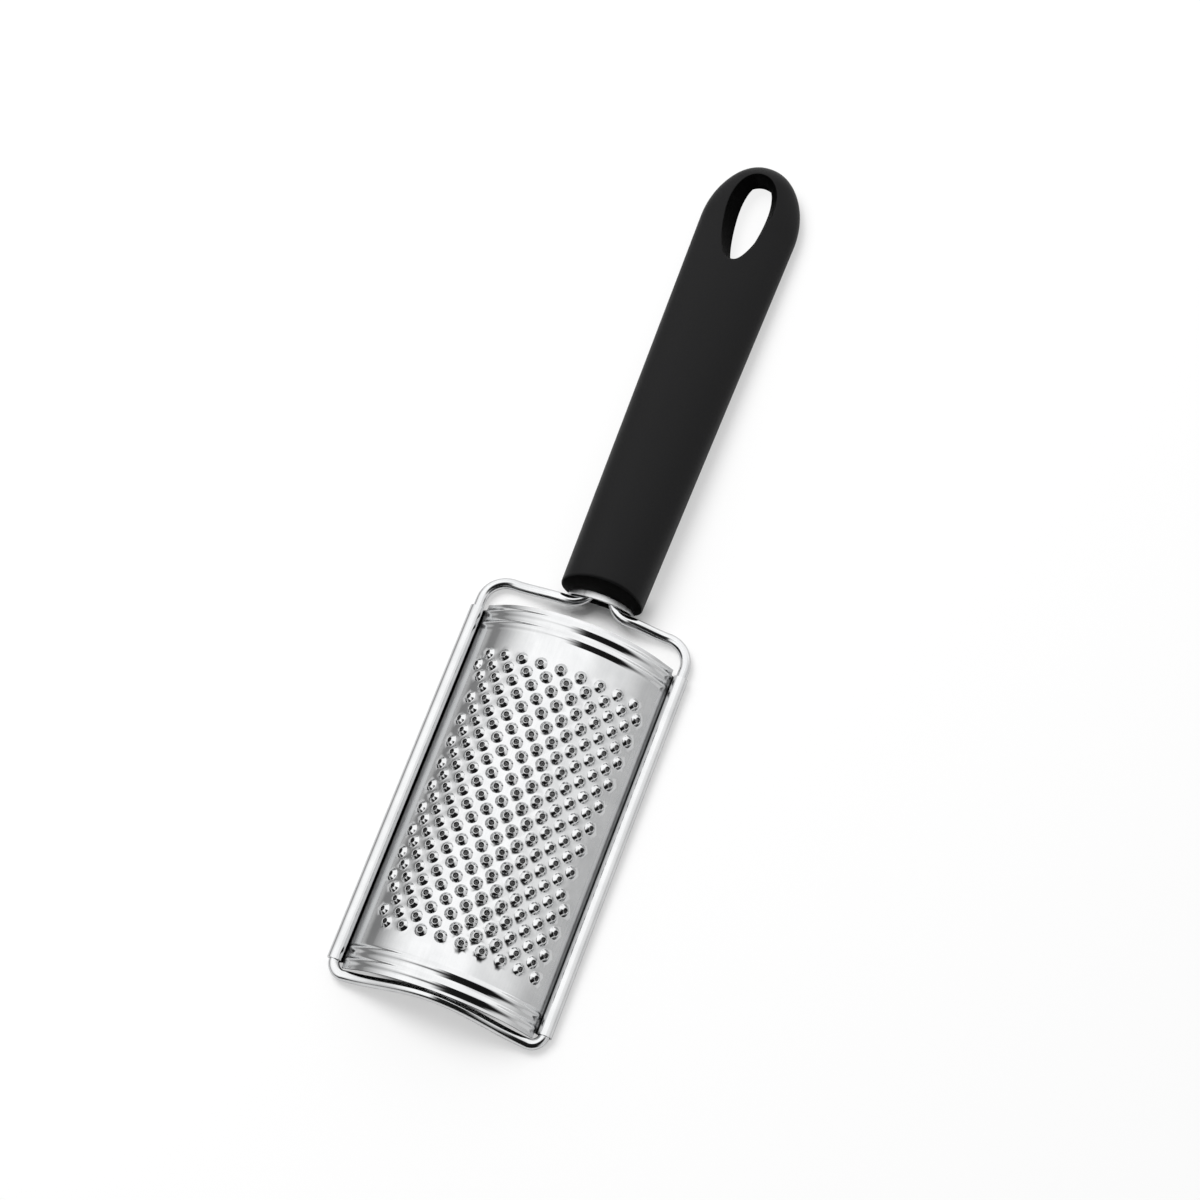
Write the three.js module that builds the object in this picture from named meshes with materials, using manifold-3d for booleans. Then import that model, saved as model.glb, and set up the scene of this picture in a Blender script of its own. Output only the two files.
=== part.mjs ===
// Hand grater: an arched steel plate with raised, pierced nubs, rolled round a wire frame
// whose two legs run into a black moulded handle.
// Millimetres. X runs across the head, +Y from the tip towards the handle, +Z is up.
// The origin is on the worktop, under the middle of the length.
import * as THREE from 'three';
import { mergeVertices } from 'three/addons/utils/BufferGeometryUtils.js';
import Module from 'manifold-3d';

const wasm = await Module();
wasm.setup();

// Plate
const HEAD_WIDTH = 63;        // across the outsides of the rolled edges
const PLATE_LENGTH = 107.4;
const CROWN_HEIGHT = 16.8;    // worktop to the top of the plain arch
const FLANK_ANGLE = 47.25;    // degrees that the straight flanks slope at
const SHEET = 0.45;
const HEM_INSET = 1.55;       // rolled edge stops this far short of each plate end
const CORNER_NOTCH = 2.2;     // taken off each plate corner beyond the rolled edge, along the flank
const HEM_STOP = 130;         // degrees round the wire where the roll's free edge ends

// Nubs
const NUB_PITCH = 5.62;       // along the arch
const ROW_PITCH = 3.27;       // along the plate
const ROW_STEP = 0.5267;      // part of a pitch that each row steps towards -X
const FIELD_MARGIN = 7.68;    // least distance from the foot of a flank to a nub's middle
const FIELD_FROM_NECK = 14.9; // plate's handle end to the first row
const FIELD_FROM_TIP = 13.6;  // least distance from the plate's tip end to the last row
const NUB_BASE_RADIUS = 1.75;
const NUB_RIM_RADIUS = 0.8;
const NUB_HEIGHT = 1;
const NUB_WALL = 0.4;         // at the foot of a nub

// Beads pressed across both plate ends
const BEAD_EDGE = 2.3;        // plate end to the first bead's middle
const BEAD_PITCH = 3.5;
const BEAD_WIDTH = 3;
const BEAD_HEIGHT = 0.9;
const BEAD_MARGIN = 3.8;      // bead end to the foot of the flank

// Wire frame
const WIRE = 3;
const WIRE_GAP = 0.15;        // wire to rolled sheet
const TIP_GAP = 1.8;          // plate's tip end to the middle of the tip wire
const TIP_ARCH = 14;          // rise of the tip wire
const TIP_BEND = 3.6;
const NECK_BEND = 7;
const NECK_REACH = 8.05;      // plate's handle end to the middle of the neck wire
const LEG_BEND = 6.5;
const LEG_SPREAD = 5.4;       // between the middles of the legs
const LEG_RISE = 2.8;         // legs stand this much above the wire in the rolled edges
const LEG_DEPTH = 45;         // length of a leg inside the handle

// Steel arch in the handle's mouth
const MOUTH_WIDTH = 19;
const MOUTH_TOP = 8.8;        // above the worktop
const MOUTH_FOOT = 1.8;
const MOUTH_SHEET = 1;
const MOUTH_SHOWS = 0.5;      // length in front of the handle
const MOUTH_DEPTH = 18;       // length inside the handle
const MOUTH_RECESS = 4;       // depth of the hollow under the arch, where the legs bend in
const MOUTH_LIP = 1.3;        // thickness of the handle under that hollow

// Handle
const HANDLE_LENGTH = 139.7;
const HANDLE_ASIDE = 1.7;     // middle of the head to the middle of the handle
const HANDLE_GAP = 3.15;      // middle of the neck wire to the handle's front
const FRONT_WIDTH = 23.5;
const REAR_WIDTH = 28.2;      // where the rounded end begins
const FRONT_HEIGHT = 16;
const REAR_HEIGHT = 9;
const UNDERCUT = 2.5;         // the oval is cut flat this far above its lowest point
const FRONT_LEAN = 2.3;       // top of the front face behind its foot
const FRONT_ROUND = 0.6;
const END_ROUND = 20;         // length of the rounded end, in plan
const HOLE_LENGTH = 27.9;
const HOLE_WIDTH = 8.8;       // half way along the hole
const HOLE_EGG = 0.3;         // part that the width grows by towards the handle's end
const HOLE_FROM_END = 4.2;    // handle's end to the hole
const HOLE_RIM = 1.7;
const FIT = 0.25;             // clearance of the steel pieces in the handle

const WIRE_SIDES = 8;
const END_STEPS = 12;
const SIDE_STEPS = 16;
const HEM_STEPS = 11;

// Sizes that follow from the ones above
const length = WIRE / 2 + TIP_GAP + PLATE_LENGTH + NECK_REACH + HANDLE_GAP + HANDLE_LENGTH;
const tipY = (WIRE - length) / 2;
const plateTip = tipY + TIP_GAP;
const plateNeck = plateTip + PLATE_LENGTH;
const neckY = plateNeck + NECK_REACH;
const frontY = neckY + HANDLE_GAP;
const endY = frontY + HANDLE_LENGTH;
const hemRadius = (WIRE + SHEET) / 2 + WIRE_GAP;
const hemX = (HEAD_WIDTH - SHEET) / 2 - hemRadius;
const hemZ = hemRadius + SHEET / 2;

// A flank is the straight run from the arch to the underside of the roll, tangent to both.
const flankAngle = THREE.MathUtils.degToRad(FLANK_ANGLE);
const crownRise = CROWN_HEIGHT - SHEET / 2 - hemZ;
const flankDrop = hemX * Math.sin(flankAngle) - crownRise * Math.cos(flankAngle) - hemRadius;
const archRadius = flankDrop / (1 - Math.cos(flankAngle));
const archZ = CROWN_HEIGHT - SHEET / 2 - archRadius;
const flankLength = hemX * Math.cos(flankAngle) - (hemZ - archZ) * Math.sin(flankAngle);
const archHalf = archRadius * flankAngle;
const sheetHalf = archHalf + flankLength;

function solid(geometry) {
  geometry.deleteAttribute('normal');
  geometry.deleteAttribute('uv');
  const merged = mergeVertices(geometry, 1e-5);
  return new wasm.Manifold(new wasm.Mesh({
    numProp: 3,
    vertProperties: new Float32Array(merged.attributes.position.array),
    triVerts: new Uint32Array(merged.index.array),
  }));
}

function mesh(name, body, color, roughness, metalness) {
  const data = body.getMesh();
  const geometry = new THREE.BufferGeometry();
  geometry.setAttribute('position', new THREE.BufferAttribute(data.vertProperties, 3));
  geometry.setIndex(new THREE.BufferAttribute(data.triVerts, 1));
  geometry.computeVertexNormals();
  const made = new THREE.Mesh(geometry, new THREE.MeshStandardMaterial({ color, roughness, metalness }));
  made.name = name;
  return made;
}

// Closed skin over rings of points that all have the same count, with a fan on each end.
function loft(rings) {
  const count = rings[0].length;
  const points = rings.flat();
  const index = [];
  for (let r = 0; r + 1 < rings.length; r++) {
    for (let i = 0; i < count; i++) {
      const a = r * count + i;
      const b = r * count + (i + 1) % count;
      index.push(a, b, b + count, a, b + count, a + count);
    }
  }
  for (const [ring, first] of [[rings[0], 0], [rings.at(-1), (rings.length - 1) * count]]) {
    const middle = ring.reduce((sum, p) => sum.add(p), new THREE.Vector3()).divideScalar(count);
    points.push(middle);
    for (let i = 0; i < count; i++) {
      const edge = [first + i, first + (i + 1) % count];
      if (first === 0) edge.reverse();
      index.push(edge[0], edge[1], points.length - 1);
    }
  }
  const geometry = new THREE.BufferGeometry().setFromPoints(points);
  geometry.setIndex(index);
  return geometry;
}

// The sheet is laid out flat, as s across it from the crown and y along it, and then bent:
// an arch, two straight flanks, and a roll under the wire, round its outside and over its top.
function onSheet(s) {
  const side = Math.sign(s);
  const far = Math.abs(s);
  const angle = Math.min(far, archHalf) / archRadius;
  const straight = Math.min(Math.max(0, far - archHalf), flankLength);
  const turn = Math.max(0, far - sheetHalf) / hemRadius - angle;
  if (far > sheetHalf) {
    const out = new THREE.Vector2(side * -Math.sin(turn), Math.cos(turn));
    return { x: side * hemX - hemRadius * out.x, z: hemZ - hemRadius * out.y, out };
  }
  const out = new THREE.Vector2(side * Math.sin(angle), Math.cos(angle));
  const x = archRadius * out.x + side * straight * out.y;
  const z = archZ + archRadius * out.y - straight * Math.sin(angle);
  return { x, z, out };
}

function place(s, y, height) {
  const p = onSheet(s);
  return new THREE.Vector3(p.x + p.out.x * height, y, p.z + p.out.y * height);
}

// Nubs by row, from the handle end; each has six corners, at 30, 90 ... 330 degrees on the flat sheet.
function nubRows() {
  const rows = [];
  const fieldHalf = sheetHalf - FIELD_MARGIN;
  const most = Math.ceil(fieldHalf / NUB_PITCH) + 1;
  const last = Math.floor((PLATE_LENGTH - FIELD_FROM_NECK - FIELD_FROM_TIP) / ROW_PITCH);
  for (let row = 0; row <= last; row++) {
    const y = plateNeck - FIELD_FROM_NECK - row * ROW_PITCH;
    const list = [];
    for (let n = -most; n <= most; n++) {
      const s = (n - row * ROW_STEP % 1) * NUB_PITCH;
      if (Math.abs(s) <= fieldHalf) list.push({ s, y });
    }
    rows.push(list);
  }
  return rows;
}

// One skin of the pierced sheet on the flat layout: corners, and triangles that leave the nubs open.
function layOut(rows) {
  const corners = [];
  const faces = [];
  const add = (corner) => corners.push({ rise: 0, lowS: corner.s, lowY: corner.y, ...corner }) - 1;
  const quad = (a, b, c, d) => faces.push([a, b, c], [a, c, d]);
  // Fills the strip between two chains of corners; b lies on the left of the way along a.
  const zip = (a, b, key) => {
    let i = 0;
    let j = 0;
    while (i + 1 < a.length || j + 1 < b.length) {
      const ahead = i + 1 < a.length ? key(corners[a[i + 1]]) : Infinity;
      const beside = j + 1 < b.length ? key(corners[b[j + 1]]) : Infinity;
      if (ahead <= beside) faces.push([a[i], a[++i], b[j]]);
      else faces.push([a[i], b[j + 1], b[j++]]);
    }
  };

  const lowRadius = NUB_BASE_RADIUS - NUB_WALL;
  for (const nub of rows.flat()) {
    nub.corner = [30, 90, 150, 210, 270, 330].map((degrees) => {
      const t = THREE.MathUtils.degToRad(degrees);
      const [c, d] = [Math.cos(t), Math.sin(t)];
      return add({
        nub,
        s: nub.s + NUB_BASE_RADIUS * c,
        y: nub.y + NUB_BASE_RADIUS * d,
        lowS: nub.s + lowRadius * c,
        lowY: nub.y + lowRadius * d,
      });
    });
  }
  rows.forEach((row, r) => {
    row.forEach((nub, n) => {
      const a = nub.corner;
      const b = row[n + 1]?.corner;
      const below = rows[r + 1] ?? [];
      const left = below.find((m) => m.s < nub.s && m.s > nub.s - NUB_PITCH)?.corner;
      const right = below.find((m) => m.s > nub.s && m.s < nub.s + NUB_PITCH)?.corner;
      if (b) quad(a[5], b[3], b[2], a[0]);
      if (left) quad(a[3], left[1], left[0], a[4]);
      if (right) quad(a[4], right[2], right[1], a[5]);
      if (left && right) faces.push([a[4], left[0], right[2]]);
      if (b && right) faces.push([a[5], right[1], b[3]]);
    });
  });

  // Outline of the field: along its two end rows and down its two sides.
  const neckChain = rows[0].flatMap((nub) => [2, 1, 0].map((k) => nub.corner[k]));
  const tipChain = rows.at(-1).flatMap((nub) => [3, 4, 5].map((k) => nub.corner[k]));
  const leftChain = [];
  const rightChain = [];
  rows.forEach((row, r) => {
    const [first, last] = [row[0], row.at(-1)];
    const next = rows[r + 1];
    leftChain.push(first.corner[2], first.corner[3]);
    rightChain.push(last.corner[0], last.corner[5]);
    if (!next) return;
    leftChain.push(next[0].s < first.s ? next[0].corner[1] : first.corner[4]);
    rightChain.push(next.at(-1).s > last.s ? next.at(-1).corner[1] : last.corner[4]);
  });

  // Plate ends: lines across the sheet that carry two beads with rounded ends.
  const notch = sheetHalf - CORNER_NOTCH;
  const beadHalf = sheetHalf - BEAD_MARGIN;
  const outside = [0.3, 0, -1 / 6, -0.5].map((part) => beadHalf + part * BEAD_WIDTH);
  const stations = outside.map((far) => -far);
  for (let i = 1; i < END_STEPS; i++) stations.push(outside[3] * (2 * i / END_STEPS - 1));
  stations.push(...outside.reverse());
  const beadSize = (s) => {
    const past = (Math.abs(s) - beadHalf) / (BEAD_WIDTH / 2) + 1;
    return past > 1 ? 0 : Math.sqrt(1 - Math.max(0, past) ** 2);
  };
  const endLines = (end, inward) => {
    const lines = [stations.map((s) => add({ s, y: end }))];
    for (const turn of [0, 1]) {
      const middle = end + inward * (BEAD_EDGE + turn * BEAD_PITCH);
      for (const t of [-1, -0.6, 0, 0.6, 1]) {
        lines.push(stations.map((s) => {
          const size = beadSize(s);
          const wide = inward * BEAD_WIDTH / 2 * (0.3 + 0.7 * size);
          return add({ s, y: middle + t * wide, rise: BEAD_HEIGHT * size * Math.cos(Math.PI / 2 * t) });
        }));
      }
    }
    return lines;
  };
  const fill = (low, high) => {
    for (let i = 0; i + 1 < low.length; i++) quad(low[i], low[i + 1], high[i + 1], high[i]);
  };
  const neck = endLines(plateNeck, -1);
  const tip = endLines(plateTip, 1);
  for (let i = 0; i + 1 < neck.length; i++) {
    fill(neck[i + 1], neck[i]);
    fill(tip[i], tip[i + 1]);
  }

  // Border between these lines, the field and the notch lines on the flanks
  const hemNeck = plateNeck - HEM_INSET;
  const hemTip = plateTip + HEM_INSET;
  const sideLine = (s) => {
    const list = [];
    for (let i = 0; i <= SIDE_STEPS; i++) {
      list.push(add({ s, y: hemNeck + (hemTip - hemNeck) * i / SIDE_STEPS }));
    }
    return list;
  };
  const leftLine = sideLine(-notch);
  const rightLine = sideLine(notch).reverse();
  const across = (c) => c.s;
  const down = (c) => -c.y;
  const up = (c) => c.y;
  zip(neckChain, neck.at(-1), across);
  zip(tip.at(-1), tipChain, across);
  const endCorners = (s) => [add({ s, y: plateNeck }), add({ s, y: plateTip })];
  const [leftNeck, leftTip] = endCorners(-notch);
  const [rightNeck, rightTip] = endCorners(notch);
  const inner = (at, chain) => [
    ...neck.map((line) => line.at(at)),
    ...chain,
    ...tip.map((line) => line.at(at)).reverse(),
  ];
  zip([leftNeck, ...leftLine, leftTip], inner(0, leftChain), down);
  zip([rightTip, ...rightLine, rightNeck], inner(-1, rightChain).reverse(), up);

  // Rolled edges
  const rollEnd = sheetHalf + hemRadius * (flankAngle + Math.PI / 2 + THREE.MathUtils.degToRad(HEM_STOP));
  for (const [side, chain, key] of [[-1, leftLine, down], [1, rightLine, up]]) {
    let inner = chain;
    for (let i = 0; i <= HEM_STEPS; i++) {
      const s = side * (sheetHalf + (rollEnd - sheetHalf) * i / HEM_STEPS);
      const outer = (side < 0 ? [hemNeck, hemTip] : [hemTip, hemNeck]).map((y) => add({ s, y }));
      zip(outer, inner, key);
      inner = outer;
    }
  }
  return { corners, faces };
}

// Both skins of the bent sheet, its edges, and on each opening a nub that rises to a sharp rim.
function piercedSheet() {
  const rows = nubRows();
  const { corners, faces } = layOut(rows);
  const count = corners.length;
  const points = corners.map((c) => place(c.s, c.y, c.rise + SHEET / 2));
  points.push(...corners.map((c) => place(c.lowS, c.lowY, c.rise - SHEET / 2)));
  const index = [];
  const edges = new Set();
  for (const [a, b, c] of faces) {
    index.push(a, b, c, a + count, c + count, b + count);
    for (const [from, to] of [[a, b], [b, c], [c, a]]) edges.add(from * count + to);
  }
  const rim = new Map();
  const rimPoint = (i) => {
    if (rim.has(i)) return rim.get(i);
    const { nub, s, y } = corners[i];
    const root = onSheet(nub.s);
    const part = NUB_RIM_RADIUS / NUB_BASE_RADIUS;
    const top = place(nub.s, nub.y, SHEET / 2 + NUB_HEIGHT);
    const aside = (s - nub.s) * part;
    top.add(new THREE.Vector3(aside * root.out.y, (y - nub.y) * part, -aside * root.out.x));
    rim.set(i, points.push(top) - 1);
    return points.length - 1;
  };
  for (const edge of edges) {
    const a = Math.floor(edge / count);
    const b = edge % count;
    if (edges.has(b * count + a)) continue;
    if (corners[a].nub && corners[a].nub === corners[b].nub) {
      const [ra, rb] = [rimPoint(a), rimPoint(b)];
      index.push(b, a, ra, b, ra, rb, a + count, b + count, rb, a + count, rb, ra);
    } else {
      index.push(b, a, a + count, b, a + count, b + count);
    }
  }
  const geometry = new THREE.BufferGeometry().setFromPoints(points);
  geometry.setIndex(index);
  return geometry;
}

// Curve through given stations, met exactly when it is swept with one step per station.
class StationCurve extends THREE.Curve {
  constructor(stations) {
    super();
    this.stations = stations;
  }

  getPointAt(u, target = new THREE.Vector3()) {
    return target.copy(this.stations[Math.round(u * (this.stations.length - 1))]);
  }

  getTangentAt(u, target = new THREE.Vector3()) {
    const i = Math.round(u * (this.stations.length - 1));
    const here = this.stations[i];
    const before = this.stations[Math.max(0, i - 1)];
    const after = this.stations[Math.min(this.stations.length - 1, i + 1)];
    const back = here.clone().sub(before).normalize();
    return target.copy(after).sub(here).normalize().add(back).normalize();
  }
}

// Half of the wire, from a leg's inner end to the middle of the tip arch, on the +X side;
// aside is how far the handle's middle lies towards this half.
function halfWire(aside) {
  const points = [];
  const legX = aside + LEG_SPREAD / 2;
  const legZ = hemZ + LEG_RISE;
  const bend = (cx, cy, radius, from, to, steps, height) => {
    for (let i = 0; i <= steps; i++) {
      const a = THREE.MathUtils.degToRad(from + (to - from) * i / steps);
      const x = cx + radius * Math.cos(a);
      points.push(new THREE.Vector3(x, cy + radius * Math.sin(a), height(x)));
    }
  };
  const legEnd = legX + LEG_BEND;
  const neckEnd = hemX - NECK_BEND;
  const slope = (x) => {
    const part = THREE.MathUtils.smoothstep(x, legEnd, neckEnd);
    return legZ + (hemZ - legZ) * part;
  };
  const rise = (x) => hemZ + TIP_ARCH * Math.cos(Math.PI * x / (2 * hemX)) ** 2;
  points.push(new THREE.Vector3(legX, frontY + LEG_DEPTH, legZ));
  bend(legEnd, neckY + LEG_BEND, LEG_BEND, 180, 270, 6, () => legZ);
  points.push(new THREE.Vector3((legEnd + neckEnd) / 2, neckY, slope((legEnd + neckEnd) / 2)));
  bend(neckEnd, neckY - NECK_BEND, NECK_BEND, 90, 0, 6, () => hemZ);
  bend(hemX - TIP_BEND, tipY + TIP_BEND, TIP_BEND, 0, -90, 6, rise);
  const steps = 8;
  for (let i = 1; i <= steps; i++) {
    const x = (hemX - TIP_BEND) * (1 - i / steps);
    points.push(new THREE.Vector3(x, tipY, rise(x)));
  }
  return points;
}

function wireFrame() {
  const right = halfWire(HANDLE_ASIDE);
  const left = halfWire(-HANDLE_ASIDE).slice(0, -1).reverse().map((p) => new THREE.Vector3(-p.x, p.y, p.z));
  const stations = [...right, ...left];
  const circle = new THREE.EllipseCurve(0, 0, WIRE / 2, WIRE / 2).getPoints(WIRE_SIDES);
  return solid(new THREE.ExtrudeGeometry(new THREE.Shape(circle.slice(0, -1)), {
    steps: stations.length - 1,
    extrudePath: new StationCurve(stations),
  }));
}

function extruded(shape, depth) {
  return new THREE.ExtrudeGeometry(shape, { depth, curveSegments: 10, bevelEnabled: false });
}

// The arch in the mouth: a half oval of sheet; room is added all round when its slot is cut.
function mouthArch(room, from, to) {
  const half = MOUTH_WIDTH / 2;
  const rise = MOUTH_TOP - MOUTH_FOOT;
  const shape = new THREE.Shape();
  shape.moveTo(half + room, MOUTH_FOOT - room);
  shape.lineTo(half + room, MOUTH_FOOT);
  shape.absellipse(0, MOUTH_FOOT, half + room, rise + room, 0, Math.PI, false);
  shape.lineTo(-half - room, MOUTH_FOOT - room);
  shape.lineTo(-half + MOUTH_SHEET + room, MOUTH_FOOT - room);
  shape.lineTo(-half + MOUTH_SHEET + room, MOUTH_FOOT);
  const inner = MOUTH_SHEET + room;
  shape.absellipse(0, MOUTH_FOOT, half - inner, rise - inner, Math.PI, 0, true);
  shape.lineTo(half - inner, MOUTH_FOOT - room);
  const geometry = extruded(shape, to - from);
  return solid(geometry.rotateX(Math.PI / 2).translate(HANDLE_ASIDE, to, 0));
}

// The hollow in the handle's mouth, the full width of the arch and its slot.
function mouthHollow() {
  const half = MOUTH_WIDTH / 2 + FIT;
  const shape = new THREE.Shape();
  shape.moveTo(-half, MOUTH_LIP);
  shape.lineTo(half, MOUTH_LIP);
  shape.absellipse(0, MOUTH_FOOT, half, MOUTH_TOP - MOUTH_FOOT + FIT, 0, Math.PI, false);
  const geometry = extruded(shape, MOUTH_RECESS + 1);
  return solid(geometry.rotateX(Math.PI / 2).translate(HANDLE_ASIDE, frontY + MOUTH_RECESS, 0));
}

// Handle sections: an oval of half width a and half height b about height c, on the handle's middle line.
const OVAL_POWER = 2.2;
const endStart = endY - END_ROUND;

function handleSize(y) {
  const part = THREE.MathUtils.clamp((y - frontY) / (endStart - frontY), 0, 1);
  const top = FRONT_HEIGHT + (REAR_HEIGHT - FRONT_HEIGHT) * part;
  const plan = Math.sqrt(Math.max(0, 1 - (Math.max(0, y - endStart) / END_ROUND) ** 2));
  const a = (FRONT_WIDTH + (REAR_WIDTH - FRONT_WIDTH) * part) / 2 * plan;
  const thin = (top + UNDERCUT) / 2;
  const tuck = Math.max(0, y - endY + thin) / thin;
  return { a, b: thin * Math.sqrt(Math.max(0, 1 - tuck ** 2)), c: top - thin };
}

function ovalRing(y, inset, count) {
  const { a, b, c } = handleSize(y);
  const ring = [];
  for (let i = 0; i < count; i++) {
    const t = -2 * Math.PI * i / count;
    const px = Math.sign(Math.cos(t)) * Math.abs(Math.cos(t)) ** (2 / OVAL_POWER);
    const pz = Math.sign(Math.sin(t)) * Math.abs(Math.sin(t)) ** (2 / OVAL_POWER);
    ring.push(new THREE.Vector3(HANDLE_ASIDE + (a - inset) * px, y, c + (b - inset) * pz));
  }
  return ring;
}

function handleTop(x, y) {
  const { a, b, c } = handleSize(y);
  return c + b * Math.max(0, 1 - Math.abs(x / a) ** OVAL_POWER) ** (1 / OVAL_POWER);
}

// Hang hole: an egg outline with both rims rounded.
function hangHole() {
  const count = 28;
  const middle = endY - HOLE_FROM_END - HOLE_LENGTH / 2;
  const ring = (grow, height) => {
    const list = [];
    for (let i = 0; i < count; i++) {
      const t = 2 * Math.PI * i / count;
      const x = (HOLE_WIDTH / 2 + grow) * Math.cos(t) * (1 + HOLE_EGG * Math.sin(t));
      const y = middle + (HOLE_LENGTH / 2 + grow) * Math.sin(t);
      list.push(new THREE.Vector3(HANDLE_ASIDE + x, y, height(x, y)));
    }
    return list;
  };
  const rings = [ring(HOLE_RIM, () => -2)];
  const steps = 3;
  for (let i = 0; i <= steps; i++) {
    const t = Math.PI / 2 * i / steps;
    rings.push(ring(HOLE_RIM * (1 - Math.sin(t)), () => HOLE_RIM * (1 - Math.cos(t))));
  }
  for (let i = steps; i >= 0; i--) {
    const t = Math.PI / 2 * i / steps;
    const down = HOLE_RIM * (1 - Math.cos(t));
    rings.push(ring(HOLE_RIM * (1 - Math.sin(t)), (x, y) => handleTop(x, y) - down));
  }
  rings.push(ring(HOLE_RIM, () => REAR_HEIGHT + 4));
  return solid(loft(rings));
}

function handle() {
  const count = 28;
  const rings = [];
  const roundSteps = 4;
  for (let i = 0; i <= roundSteps; i++) {
    const t = Math.PI / 2 * i / roundSteps;
    const inset = FRONT_ROUND * (1 - Math.sin(t));
    rings.push(ovalRing(frontY + FRONT_ROUND * (1 - Math.cos(t)), inset, count));
  }
  for (const point of rings.flat()) {
    point.y += FRONT_LEAN * point.z / FRONT_HEIGHT;
  }
  const runs = 3;
  for (let i = 1; i <= runs; i++) {
    rings.push(ovalRing(frontY + FRONT_ROUND + (endStart - frontY - FRONT_ROUND) * i / runs, 0, count));
  }
  const endSteps = 10;
  const endTurn = Math.PI / 2 * 0.97;
  for (let i = 1; i <= endSteps; i++) {
    const t = endTurn * i / endSteps;
    rings.push(ovalRing(endStart + END_ROUND * Math.sin(t), 0, count));
  }
  let body = solid(loft(rings));
  const under = new THREE.BoxGeometry(2 * REAR_WIDTH, 2 * HANDLE_LENGTH, 10);
  body = body.subtract(solid(under.translate(0, (frontY + endY) / 2, -5)));
  body = body.subtract(hangHole());
  body = body.subtract(mouthHollow());
  body = body.subtract(mouthArch(FIT, frontY - 1, frontY + MOUTH_DEPTH + FIT));
  for (const sign of [-1, 1]) {
    const bore = new THREE.CylinderGeometry(WIRE / 2 + FIT, WIRE / 2 + FIT, LEG_DEPTH + FIT + 1, 12);
    bore.translate(HANDLE_ASIDE + sign * LEG_SPREAD / 2, frontY + (LEG_DEPTH + FIT - 1) / 2, hemZ + LEG_RISE);
    body = body.subtract(solid(bore));
  }
  return body;
}

const grater = new THREE.Group();
grater.add(
  mesh('wire_frame', wireFrame(), 0xd4d6d8, 0.16, 1),
  mesh('grating_plate', solid(piercedSheet()), 0xc9cbcd, 0.2, 1),
  mesh('mouth_arch', mouthArch(0, frontY - MOUTH_SHOWS, frontY + MOUTH_DEPTH), 0xc4c6c8, 0.22, 1),
  mesh('handle', handle(), 0x1d1d1f, 0.55, 0),
);

export default grater;
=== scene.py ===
import math
import bmesh
import bpy
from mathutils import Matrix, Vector
from mathutils.geometry import delaunay_2d_cdt


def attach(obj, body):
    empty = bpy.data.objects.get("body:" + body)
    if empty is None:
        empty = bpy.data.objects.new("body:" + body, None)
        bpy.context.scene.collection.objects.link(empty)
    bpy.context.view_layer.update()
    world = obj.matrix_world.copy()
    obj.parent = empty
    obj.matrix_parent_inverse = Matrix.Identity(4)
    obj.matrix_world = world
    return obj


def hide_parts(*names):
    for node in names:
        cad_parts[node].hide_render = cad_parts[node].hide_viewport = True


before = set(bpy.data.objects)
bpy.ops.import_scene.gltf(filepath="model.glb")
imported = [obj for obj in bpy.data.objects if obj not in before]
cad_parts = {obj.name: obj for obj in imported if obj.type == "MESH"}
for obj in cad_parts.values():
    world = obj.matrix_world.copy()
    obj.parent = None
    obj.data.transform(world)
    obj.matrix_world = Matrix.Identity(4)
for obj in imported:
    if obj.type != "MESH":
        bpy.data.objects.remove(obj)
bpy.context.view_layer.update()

scene = bpy.context.scene

# Wire frame
# One length of bright stainless wire, bent cold: a leg in the handle, out along the neck,
# down inside the rolled edge, up over the arch at the tip, and back the same way.
MM = 0.001
WIRE = 3
SHEET = 0.45
HEAD_WIDTH = 62.95
PLATE_LENGTH = 107.4
TIP_GAP = 1.8
NECK_REACH = 8.05
HANDLE_GAP = 3.15
HANDLE_LENGTH = 139.7
HANDLE_ASIDE = 1.7
TIP_ARCH = 11.2
TIP_BOW = 1.05
TIP_BEND = 3.6
NECK_BEND = 7
LEG_BEND = 6.5
LEG_SPREAD = 5.4
LEG_RISE = 2.8
LEG_DEPTH = 45
ROLL_GAP = 0.15
WIRE_PLAY = 0.01
WIRE_SIDES = 24
WIRE_GIRTH = 9.4
WIRE_CREASE = 50
LEG_STEPS = 6
BEND_STEPS = 20
NECK_STEPS = 8
ARCH_STEPS = 40
DRAWN_LINES = (60, 9000)
WIRE_WEAR = 140.0
WIRE_COLOUR = (0.60, 0.605, 0.61, 1)
WIRE_SHADE = (0.50, 0.505, 0.51, 1)

length = WIRE / 2 + TIP_GAP + PLATE_LENGTH + NECK_REACH + HANDLE_GAP + HANDLE_LENGTH
tip_y = (WIRE - length) / 2
plate_tip = tip_y + TIP_GAP
plate_neck = plate_tip + PLATE_LENGTH
neck_y = plate_neck + NECK_REACH
front_y = neck_y + HANDLE_GAP
end_y = front_y + HANDLE_LENGTH
hem_radius = (WIRE + SHEET) / 2 + ROLL_GAP
hem_x = (HEAD_WIDTH - SHEET) / 2 - hem_radius
hem_z = hem_radius + SHEET / 2


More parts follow.
